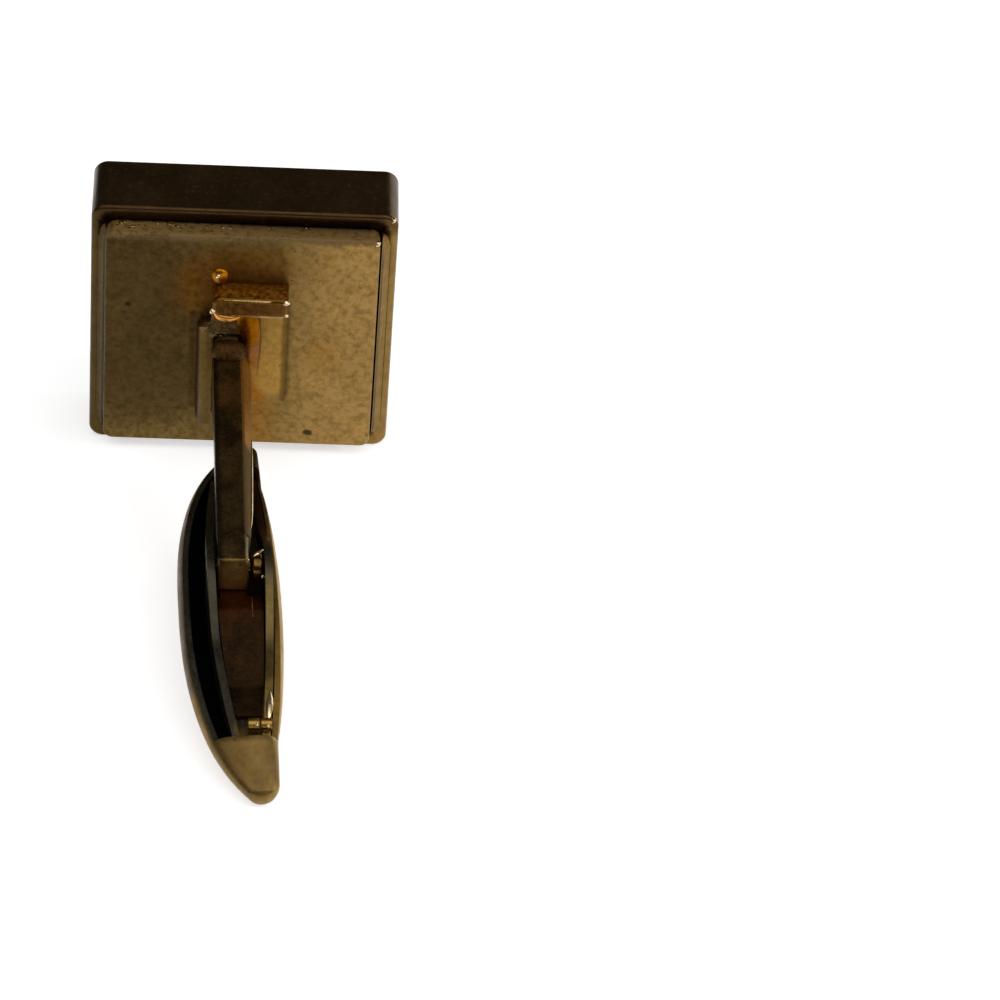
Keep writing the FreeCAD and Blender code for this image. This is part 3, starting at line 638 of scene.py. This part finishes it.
for nose, mouth_end, way in ((near_nose, 0, -1), (far_nose, -1, 1)):
    _, cap = outside_curves(nose[0])
    hull_row = hull_rows[mouth_end]
    crown_row = [hull_row[-1]] + row_of(cap[1:-1], nose[0]) + [hull_row[0]]
    shell_mesh.faces.new(crown_row + list(reversed(rim_rows[mouth_end]))).material_index = RIM
    loop = hull_row + crown_row[1:-1]
    for along in nose[1:]:
        hull, cap = outside_curves(along)
        section = np.vstack([hull, cap[1:-1]])
        next_loop = row_of(section, along)
        fill(loop + loop[:1], next_loop + next_loop[:1], OUTSIDE)
        loop = next_loop
    middle = 0.5 * (section.min(axis=0) + section.max(axis=0))
    first = math.radians(TIP_START)
    for turn in TIP_TURNS:
        angle = math.radians(turn)
        shrink = math.cos(angle) / math.cos(first)
        outwards = way * TIP_DOME * (math.sin(angle) - math.sin(first))
        next_loop = row_of(middle + (section - middle) * shrink, nose[-1] + outwards)
        fill(loop + loop[:1], next_loop + next_loop[:1], OUTSIDE)
        loop = next_loop
    shell_mesh.faces.new(loop).material_index = OUTSIDE
print("shell points", len(shell_mesh.verts))

# %% The shell as a piece
SHELL_EDGE = 0.07


def put(name, data):
    """A new object in the scene that holds this mesh, lamp or camera."""
    thing = bpy.data.objects.new(name, data)
    bpy.context.scene.collection.objects.link(thing)
    return thing


bmesh.ops.recalc_face_normals(shell_mesh, faces=shell_mesh.faces)
for face in shell_mesh.faces:
    face.smooth = True
shell_data = bpy.data.meshes.new("toggle_boat")
shell_mesh.to_mesh(shell_data)
shell_mesh.free()
for finish in (satin_shell, black_hollow, sheet_edge):
    shell_data.materials.append(finish)
shell = put("toggle_boat", shell_data)
soften(shell, SHELL_EDGE)
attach(shell, "toggle")
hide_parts("toggle_shell")
print("shell faces", len(shell_data.polygons))

# %% [markdown]
# ## Solder
#
# The plate, the foot and the post are soldered together, and the solder ran out a little. Where it froze
# rough, along the plate's upper edge and beside the post's root, it is made of many small balls,
# scattered with a seeded random generator, which a voxel remesh melts together.

# %% Rough solder
random.seed(7)
SQUEEZE = (0.6, 1.1)
# Frozen in small grains and plated over: tiny bright glints on a dark gold edge.
bright_solder = plated_brass(
    "solder under gold plating, frozen rough", "#a98449", "#6a5228", "#3a2b12", 0.18, 0.36, cloud_mm=0.8,
    mottle_mm=0.2, mottle=0.5, pit_mm=0.5, pit_size=0.10)
# The same under dust: a dull grey-brown crust.
dull_solder = plated_brass(
    "solder under gold plating, frozen dull", "#7d663a", "#574422", "#3a2b12", 0.36, 0.50, cloud_mm=0.8,
    mottle_mm=0.15, mottle=0.6, pit_mm=0.4, pit_size=0.12, film="#75664a", film_share=0.30, film_mm=0.10)


def melted(name, balls, voxel_mm, finish):
    """One lumpy piece from a list of (place, radius in mm)."""
    lump = bmesh.new()
    for place, radius in balls:
        squeeze = Matrix.Diagonal((1.0, 1.0, random.uniform(*SQUEEZE), 1.0))
        bmesh.ops.create_icosphere(lump, subdivisions=2, radius=radius * MM,
                                   matrix=Matrix.Translation(place) @ squeeze)
    rough = bpy.data.meshes.new(name + "_balls")
    lump.to_mesh(rough)
    lump.free()
    piece = put(name, rough)
    melt = piece.modifiers.new("melt", "REMESH")
    melt.mode = "VOXEL"
    melt.voxel_size = voxel_mm * MM
    flow = piece.modifiers.new("flow", "SMOOTH")
    flow.iterations = 4
    bpy.context.view_layer.update()
    shape = bpy.data.meshes.new_from_object(piece.evaluated_get(bpy.context.evaluated_depsgraph_get()))
    piece.modifiers.clear()
    piece.data = shape
    shape.materials.clear()
    shape.materials.append(finish)
    for face in shape.polygons:
        face.use_smooth = True
    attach(piece, "head")
    print(name, len(shape.polygons), "faces")


def scatter(count, start, end, spread, radius):
    """Balls along a line on the head, each moved at random by up to the spread (all mm)."""
    balls = []
    for _ in range(count):
        share = random.random()
        place = [a + (b - a) * share + random.uniform(-s, s) for a, b, s in zip(start, end, spread)]
        balls.append((head_point(*place), random.uniform(*radius)))
    return balls


edge_specks = scatter(56, (-6.4, -0.2, 6.58), (-0.5, -0.2, 6.58), (0, 0.2, 0.02), (0.05, 0.12))
edge_specks += scatter(30, (-0.5, -0.2, 6.58), (6.3, -0.2, 6.58), (0, 0.2, 0.02), (0.04, 0.10))
melted("solder_edge_bead", edge_specks, 0.03, bright_solder)
root_specks = scatter(60, (-1.75, -1.70, 1.35), (-0.75, -1.70, 1.45), (0.05, 0.02, 0.5), (0.04, 0.09))
melted("solder_root_patch", root_specks, 0.02, dull_solder)

# %% [markdown]
# Where the solder ran freely under the flame, it froze as smooth beads with a scorched orange skin: a
# drop above the foot's bar, a run down beside the post, and an arch burnt brown over the post's root. A
# bead is a tube swept along a path through a few places. The path is smoothed, and the radius grows and
# shrinks along it. Part of the bead is sunk into the metal below. Joining rows into a closed piece is a
# function of its own, which later pieces use too.

# %% Finishes of smooth solder
# Flowed and heat-tinted: a warm orange with soft reflections.
orange_solder = plated_brass(
    "solder under gold plating, flowed and scorched", "#c07a14", "#8a560c", "#2a1908", 0.34, 0.46,
    cloud_mm=1.0, mottle_mm=0.3, mottle=0.5, pit_mm=0.8, pit_size=0.10, film_share=0.03)
# Heated longer: a deeper orange brown, which pales to gold at the lower end of the run.
run_end = marks_on(head_point, [((0.6, -1.1, -2.4), (0.6, -1.1, -4.0), 0.4, 1.4, "#8a6426", 0.80, 0.0)])
scorched_solder = plated_brass(
    "solder under gold plating, scorched", "#8a5200", "#6a3e00", "#2a1908", 0.24, 0.36, cloud_mm=1.2,
    mottle_mm=0.3, mottle=0.5, pit_mm=0.8, pit_size=0.10, film_share=0.0, marks=run_end)
# Burnt nearly black where the flame stayed longest.
browned_solder = plated_brass(
    "solder under gold plating, burnt brown", "#4a2e04", "#301c02", "#160e05", 0.45, 0.60, cloud_mm=0.8,
    mottle_mm=0.2, mottle=0.5, pit_mm=0.5, pit_size=0.12, film="#6a4204", film_share=0.60, film_mm=0.12)
print("finishes so far", len(bpy.data.materials))

# %% Smooth solder
BEAD_RINGS, BEAD_SIDES = 40, 20
PATH_SAMPLES, SMOOTHED_OVER, LOOK_AHEAD = 201, 61, 0.05
END_ROUNDING, LEAST_END, MOSTLY_Y = 8, 0.0004, 0.9


def swept(name, rows, finish, body):
    """A closed piece from rows of places: quads join the rows, and a face closes each end."""
    skin = bmesh.new()
    rings = [[skin.verts.new(place) for place in row] for row in rows]
    for first, second in zip(rings, rings[1:]):
        for j in range(len(first)):
            k = (j + 1) % len(first)
            skin.faces.new((first[j], first[k], second[k], second[j])).smooth = True
    skin.faces.new(rings[0])
    skin.faces.new(rings[-1])
    bmesh.ops.recalc_face_normals(skin, faces=skin.faces)
    data = bpy.data.meshes.new(name)
    skin.to_mesh(data)
    skin.free()
    data.materials.append(finish)
    piece = put(name, data)
    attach(piece, body)
    print(name, len(data.polygons), "faces")
    return piece


def bead(name, path, finish, flat=1.0, point=head_point):
    """A smooth run along places (x, y, z, radius) in mm, by default on the head, flattened if asked."""
    fine = np.linspace(0, 1, PATH_SAMPLES)
    window = np.hanning(SMOOTHED_OVER) / np.hanning(SMOOTHED_OVER).sum()
    corners = np.array([np.interp(fine, np.linspace(0, 1, len(path)), values) for values in zip(*path)])
    smooth = [np.convolve(np.pad(values, SMOOTHED_OVER // 2, "edge"), window, "valid")
              for values in corners]
    rows = []
    for i in range(BEAD_RINGS + 1):
        t = 0.5 - 0.5 * math.cos(math.pi * i / BEAD_RINGS)
        x, y, z, radius = (float(np.interp(t, fine, values)) for values in smooth)
        ahead = [np.interp(t + LOOK_AHEAD, fine, values) for values in smooth[:3]]
        behind = [np.interp(t - LOOK_AHEAD, fine, values) for values in smooth[:3]]
        forward = Vector([float(a - b) for a, b in zip(ahead, behind)]).normalized()
        upright = Vector((0, 0, 1)) if abs(forward.y) > MOSTLY_Y else Vector((0, 1, 0))
        side = forward.cross(upright).normalized()
        out = side.cross(forward)
        radius *= math.sqrt(max(LEAST_END, 1 - (2 * t - 1) ** END_ROUNDING))
        row = []
        for j in range(BEAD_SIDES):
            angle = 2 * math.pi * j / BEAD_SIDES
            offset = radius * (math.cos(angle) * side + flat * math.sin(angle) * out)
            row.append(point(x + offset.x, y + offset.y, z + offset.z))
        rows.append(row)
    swept(name, rows, finish, "toggle" if point is toggle_point else "head")


bead("solder_drop", [
    (-1.50, -0.86, 3.96, 0.30), (-1.18, -0.90, 4.10, 0.58), (-0.74, -0.86, 4.00, 0.34),
], orange_solder, flat=0.5)
bead("solder_post_run", [
    (-0.05, -1.50, 2.60, 0.70), (0.25, -1.48, 1.90, 0.66), (0.42, -1.52, 1.10, 0.56),
    (0.48, -1.50, 0.50, 0.52), (0.54, -1.30, -0.20, 0.46), (0.56, -1.06, -1.20, 0.38),
    (0.56, -0.94, -2.20, 0.32), (0.56, -0.88, -3.20, 0.20),
], scorched_solder, flat=0.5)
bead("solder_root_arch", [
    (-1.36, -1.80, 0.00, 0.25), (-1.15, -1.90, 0.10, 0.55), (-0.60, -1.95, 0.18, 0.62),
    (-0.05, -1.90, 0.10, 0.55), (0.14, -1.80, 0.00, 0.25),
], browned_solder)

# %% [markdown]
# Thin pale beads along the edges of the foot's bar are painted highlights: they draw the lines of light
# against its dark amber faces. Small paler ones at the corners of the bar, the plate and the rim, and on
# the drop, are painted glints, points of light.

# %% Painted highlights on edges and corners
# Painted highlight: a pale gold that draws thin lines of light.
painted_highlight = plated_brass(
    "gold plating, painted edge highlight", "#e8cc90", "#b98f4c", "#5a3f1c", 0.18, 0.28, cloud_mm=0.6,
    mottle_mm=0.15, mottle=0.4, pit_mm=0.5, pit_size=0.08, film_share=0.0)
# Painted highlight in copper orange, for the light on a heat-tinted corner.
painted_orange_highlight = plated_brass(
    "gold plating, painted orange highlight", "#f0ac5c", "#c8802c", "#5a3f1c", 0.30, 0.40, cloud_mm=0.6,
    mottle_mm=0.15, mottle=0.4, pit_mm=0.5, pit_size=0.08, film_share=0.0)
# Painted glint for the corners: the palest gold, which turns into a white dot in the light.
painted_glint = plated_brass(
    "gold plating, painted corner glint", "#ffeabc", "#ecd09a", "#5a3f1c", 0.22, 0.32, cloud_mm=0.6,
    mottle_mm=0.15, mottle=0.2, pit_mm=0.5, pit_size=0.06, film_share=0.0)
bar_edge_highlights = {
    "bar_upper_edge_highlight": [(-1.10, -2.12, 3.62, 0.03), (0.40, -2.13, 3.62, 0.05), (1.10, -2.13, 3.62, 0.07),
                       (1.45, -2.12, 3.62, 0.03)],
    "bar_lower_edge_highlight": [(-0.60, -2.13, 2.66, 0.04), (0.80, -2.13, 2.66, 0.05), (2.10, -2.13, 2.66, 0.05)],
}
bar_corner_highlight_path = [(-1.46, -2.00, 2.90, 0.06), (-1.15, -2.03, 2.52, 0.20), (-0.70, -2.03, 2.40, 0.24),
               (-0.05, -2.05, 2.52, 0.05)]
corner_glints = {
    "bar_left_glint": [(-1.52, -2.06, 3.02, 0.06), (-1.44, -2.08, 2.88, 0.20), (-1.36, -2.08, 2.76, 0.06)],
    "bar_right_glints": [(2.12, -2.10, 3.72, 0.06), (2.14, -2.10, 3.58, 0.20), (2.18, -2.08, 3.42, 0.05)],
    "drop_glint": [(-1.34, -1.12, 4.40, 0.05), (-1.25, -1.16, 4.34, 0.15), (-1.16, -1.12, 4.26, 0.05)],
    "plate_corner_glint": [(6.34, -0.74, 6.46, 0.06), (6.48, -0.74, 6.40, 0.20), (6.56, -0.74, 6.26, 0.06)],
    "rim_corner_glint": [(7.14, 0.14, 7.24, 0.06), (7.22, 0.14, 7.18, 0.18), (7.30, 0.14, 7.06, 0.06)],
    "bar_right_low_glint": [(2.14, -2.10, 2.88, 0.05), (2.15, -2.10, 2.76, 0.16),
                            (2.14, -2.10, 2.64, 0.05)],
}
for name, path in bar_edge_highlights.items():
    bead(name, path, painted_highlight)
bead("bar_corner_highlight", bar_corner_highlight_path, painted_orange_highlight)
for name, path in corner_glints.items():
    bead(name, path, painted_glint)

# %% [markdown]
# The post's right side leans outwards a little, so its gold flank shows beside the dark top, broad at the
# root and narrow towards the pin. It is a strip with a bent section that ends short of the collar, which
# turns there.

# %% Flank of the post
POST_HALF = 0.74
FLANK_START, FLANK_END, FLANK_STEPS, FLANK_EDGE = 0.9, 14.1, 70, 0.03
FLANK_WIDE, FLANK_NARROW, FLANK_TOP, FLANK_SLOPE = 0.42, 0.20, -0.07, 1.6
FLANK_TIP_ROUNDING, FLANK_ROOT_ROUNDING, FLANK_LEAST = 12, 40, 0.04
FILM_SHINE = 0.1
flank_marks = marks_on(post_point, [((1.0, 0.0, -0.4), (1.0, 6.5, -0.4), 0.8, 1.6, "#c08a3c", 0.85, 1.0)])
# A rolled side under a burnt brown film, rubbed to orange gold near the root.
worn_flank = plated_brass(
    "gold-plated brass bar, worn flank", "#463720", "#342918", "#2c2010", 0.28, 0.40, cloud_mm=1.5,
    mottle_mm=0.25, mottle=0.5, pit_mm=0.6, pit_size=0.10, film="#5c4824", film_share=1.2, film_from=0.25,
    marks=flank_marks)
# The burnt film hardly shines, so it stays brown beside the white table.
worn_flank.node_tree.nodes["Principled BSDF"].inputs["Specular IOR Level"].default_value = FILM_SHINE
flank_rows = []
for i in range(FLANK_STEPS + 1):
    share = i / FLANK_STEPS
    run = FLANK_START + (FLANK_END - FLANK_START) * share
    rounded = 1 - share ** FLANK_TIP_ROUNDING - (1 - share) ** FLANK_ROOT_ROUNDING
    width = (FLANK_WIDE + (FLANK_NARROW - FLANK_WIDE) * share) * math.sqrt(max(FLANK_LEAST, rounded))
    profile = [(-0.30, -0.50), (-0.15, -0.01), (0.0, FLANK_TOP), (width, FLANK_TOP - FLANK_SLOPE * width),
               (width, -1.30), (0.0, -1.60)]
    flank_rows.append([post_point(POST_HALF + x, run, z) for x, z in profile])
post_flank = swept("post_flank", flank_rows, worn_flank, "head")
soften(post_flank, FLANK_EDGE)

# %% [markdown]
# More painted highlights, thin pale beads: round the post's square end and along its flank, and on the
# toggle the collar, the spring, and the right wall's end with its curled tabs. A matt black bead along the
# post's left edge is painted shade.

# %% Painted highlights and shade on post and toggle
# Painted shade along the post's left edge: a matt black strip. A film share above 1 leaves no metal bare.
painted_shade_black = plated_brass(
    "matt black, painted shade", "#2a2114", "#1a140c", "#0a0805", 0.6, 0.7, cloud_mm=1.0, mottle_mm=0.2,
    mottle=0.5, pit_mm=0.5, pit_size=0.10, film="#1a150c", film_share=5.0)
highlight_and_shade_beads = [
    ("post_end_top_highlight", painted_highlight, post_point, "post",
     [(-0.62, 15.72, -0.07, 0.03), (0.20, 15.72, -0.07, 0.04), (0.70, 15.72, -0.07, 0.05)]),
    ("post_end_right_highlight", painted_highlight, post_point, "post",
     [(0.70, 15.70, -0.10, 0.07), (0.71, 15.70, -0.60, 0.05), (0.71, 15.70, -1.40, 0.03)]),
    ("post_flank_highlight", painted_highlight, post_point, "post",
     [(1.06, 6.5, -0.58, 0.03), (1.03, 8.5, -0.54, 0.06), (1.00, 10.0, -0.49, 0.06),
      (0.94, 12.5, -0.385, 0.06), (0.87, 13.5, -0.285, 0.03)]),
    ("post_left_shade", painted_shade_black, post_point, "post",
     [(-0.65, 2.6, -0.13, 0.11), (-0.65, 9.0, -0.13, 0.12), (-0.65, 15.4, -0.13, 0.11)]),
    ("wall_end_flash", painted_glint, toggle_point, "toggle_bracket",
     [(1.49, 6.9, -1.48, 0.05), (1.48, 7.4, -1.535, 0.15), (1.44, 7.8, -1.585, 0.19),
      (1.40, 8.2, -1.65, 0.15), (1.34, 8.6, -1.74, 0.06)]),
    ("collar_flash", painted_glint, toggle_point, "pin_collar",
     [(0.96, 0.02, 0.64, 0.04), (1.16, -0.16, 0.65, 0.12), (1.48, -0.50, 0.63, 0.05)]),
    ("collar_glint", painted_glint, toggle_point, "pin_collar",
     [(1.40, 0.46, 0.02, 0.04), (1.39, 0.57, -0.12, 0.13), (1.38, 0.56, -0.26, 0.04)]),
    ("spring_highlight", painted_highlight, toggle_point, "leaf_spring",
     [(0.88, 1.20, -0.83, 0.03), (0.88, 1.80, -0.845, 0.05), (0.87, 2.50, -0.94, 0.02)]),
    ("curl_right_glint", painted_glint, toggle_point, "toggle_bracket",
     [(1.18, 9.28, -1.42, 0.04), (1.28, 9.30, -1.42, 0.13), (1.38, 9.28, -1.42, 0.04)]),
    ("curl_left_glint", painted_glint, toggle_point, "toggle_bracket",
     [(0.69, 9.26, -1.37, 0.04), (0.77, 9.27, -1.37, 0.10), (0.85, 9.26, -1.37, 0.04)]),
]
for name, finish, point, slot, path in highlight_and_shade_beads:
    bead(name, path, finish, point=point)

# %% [markdown]
# Along its left and right sides the plate was sealed to the case, so there is no open groove as there is
# on top: a hollow fillet of solder climbs from the rim towards the plate's edge. Each is a strip with a
# curved cross-section, swept down the side, and plated and polished with the case. The right one stops a
# little short of the plate, which leaves a thin dark line.

# %% Solder fillets beside the plate
SIDE_TOP, SIDE_BOTTOM, SIDE_STEPS, SIDE_TAPER = 6.55, -6.70, 80, 1.5
SIDE_RIPPLE, END_LIFT, END_SUNK = (0.95, 1.0), 0.02, 0.05
fillets = {
    "solder_left_fillet": [(-7.26, 0.02), (-7.10, -0.02), (-6.98, -0.10), (-6.88, -0.24), (-6.80, -0.44),
                           (-6.775, -0.62), (-6.775, 0.10)],
    "solder_right_fillet": [(7.26, 0.02), (7.08, -0.03), (6.95, -0.11), (6.84, -0.25), (6.77, -0.42),
                            (6.735, -0.55), (6.735, 0.10)],
}
for name, profile in fillets.items():
    side_rows = []
    for i in range(SIDE_STEPS + 1):
        z = SIDE_TOP + (SIDE_BOTTOM - SIDE_TOP) * i / SIDE_STEPS
        from_end = min(SIDE_TOP - z, z - SIDE_BOTTOM) / SIDE_TAPER
        height = random.uniform(*SIDE_RIPPLE) * math.sin(0.5 * math.pi * min(1, from_end + END_LIFT))
        side_rows.append([head_point(x, y * height + END_SUNK * (1 - height), z) for x, y in profile])
    soften(swept(name, side_rows, polished_case, "head"), 0)

# %% [markdown]
# ## Floor, light and camera
#
# The cufflink lies on a white table. A wide dim panel hangs above and in front, so that satin gold shows
# its own colour. The room behind stays dark: faces that look up mirror it towards the camera and look
# nearly black. A dim window behind at the right lights what faces away, and a small bright lamp at the
# right sets the sparkles on edges and corners. The camera stands where a fit to the photograph put it,
# high in front, with a long lens.

# %% Floor
FLOOR_HALF = 0.6
FLOOR_GLOW = 0.62
bpy.ops.mesh.primitive_plane_add(size=2 * FLOOR_HALF, location=(0, 0, 0))
floor = bpy.context.object
floor.name = "floor"
floor_paint = bpy.data.materials.new("white card, matt")
floor_paint.use_nodes = True
floor_tree = floor_paint.node_tree
floor_shader = floor_tree.nodes["Principled BSDF"]
floor_shader.inputs["Base Color"].default_value = linear("#f7f7f7")
floor_shader.inputs["Roughness"].default_value = 0.9
# The card looks white to the camera and in mirrors, and still takes the shadow.
path = add(floor_tree, "LightPath")
mirrored = add(floor_tree, "Math", {"operation": "MAXIMUM"}, i0=(path, "Is Glossy Ray"),
               i1=(path, "Is Transmission Ray"))
seen = add(floor_tree, "Math", {"operation": "MAXIMUM"}, i0=(path, "Is Camera Ray"),
           i1=(mirrored, "Value"))
glow = add(floor_tree, "Math", {"operation": "MULTIPLY"}, i0=(seen, "Value"), i1=FLOOR_GLOW)
lift = add(floor_tree, "Emission", Strength=(glow, "Value"))
both = add(floor_tree, "AddShader", i0=(floor_shader, "BSDF"), i1=(lift, "Emission"))
floor_tree.links.new(both.outputs["Shader"], floor_tree.nodes["Material Output"].inputs["Surface"])
floor.data.materials.append(floor_paint)
print("floor", 2 * FLOOR_HALF, "m wide")

# %% Light
ROOM_LIGHT = 0.06


def soft_box(name, place, aim, width, height, watts):
    """An area lamp at a place in metres that faces a point."""
    lamp = bpy.data.lights.new(name, "AREA")
    lamp.shape = "RECTANGLE"
    lamp.size = width
    lamp.size_y = height
    lamp.energy = watts
    holder = put(name, lamp)
    holder.location = place
    holder.rotation_euler = (Vector(aim) - Vector(place)).to_track_quat("-Z", "Y").to_euler()


soft_box("panel", place=(0, -0.30, 0.60), aim=(0, -0.30, 0), width=1.20, height=0.76, watts=3.4)
soft_box("window", place=(0.44, 0.52, 0.18), aim=(0, 0, 0), width=0.44, height=0.36, watts=0.75)
soft_box("sparkle", place=(0.45, -0.12, 0.24), aim=(0, 0, 0), width=0.05, height=0.10, watts=0.5)
world = bpy.data.worlds.new("dim room")
world.use_nodes = True
world.node_tree.nodes["Background"].inputs["Color"].default_value = linear("#ffffff")
world.node_tree.nodes["Background"].inputs["Strength"].default_value = ROOM_LIGHT
bpy.context.scene.world = world

# %% Camera
CAMERA_PLACE = Vector((-0.7047, -200.2164, 155.9594)) * MM
CAMERA_AIM = Vector((13.0961, 6.1060, 1.6720)) * MM
CAMERA_ROLL = math.radians(4.258)
SENSOR_MM, LENS_MM = 36.0, 187.2
lens = bpy.data.cameras.new("camera")
lens.sensor_width = SENSOR_MM
lens.lens = LENS_MM
lens.clip_start = 0.01
camera = put("camera", lens)
look = (CAMERA_AIM - CAMERA_PLACE).to_track_quat("-Z", "Y").to_matrix().to_4x4()
camera.matrix_world = Matrix.Translation(CAMERA_PLACE) @ look @ Matrix.Rotation(CAMERA_ROLL, 4, "Z")
bpy.context.scene.camera = camera
bpy.context.scene.view_settings.view_transform = "Standard"
print("camera at", [round(v, 3) for v in CAMERA_PLACE])
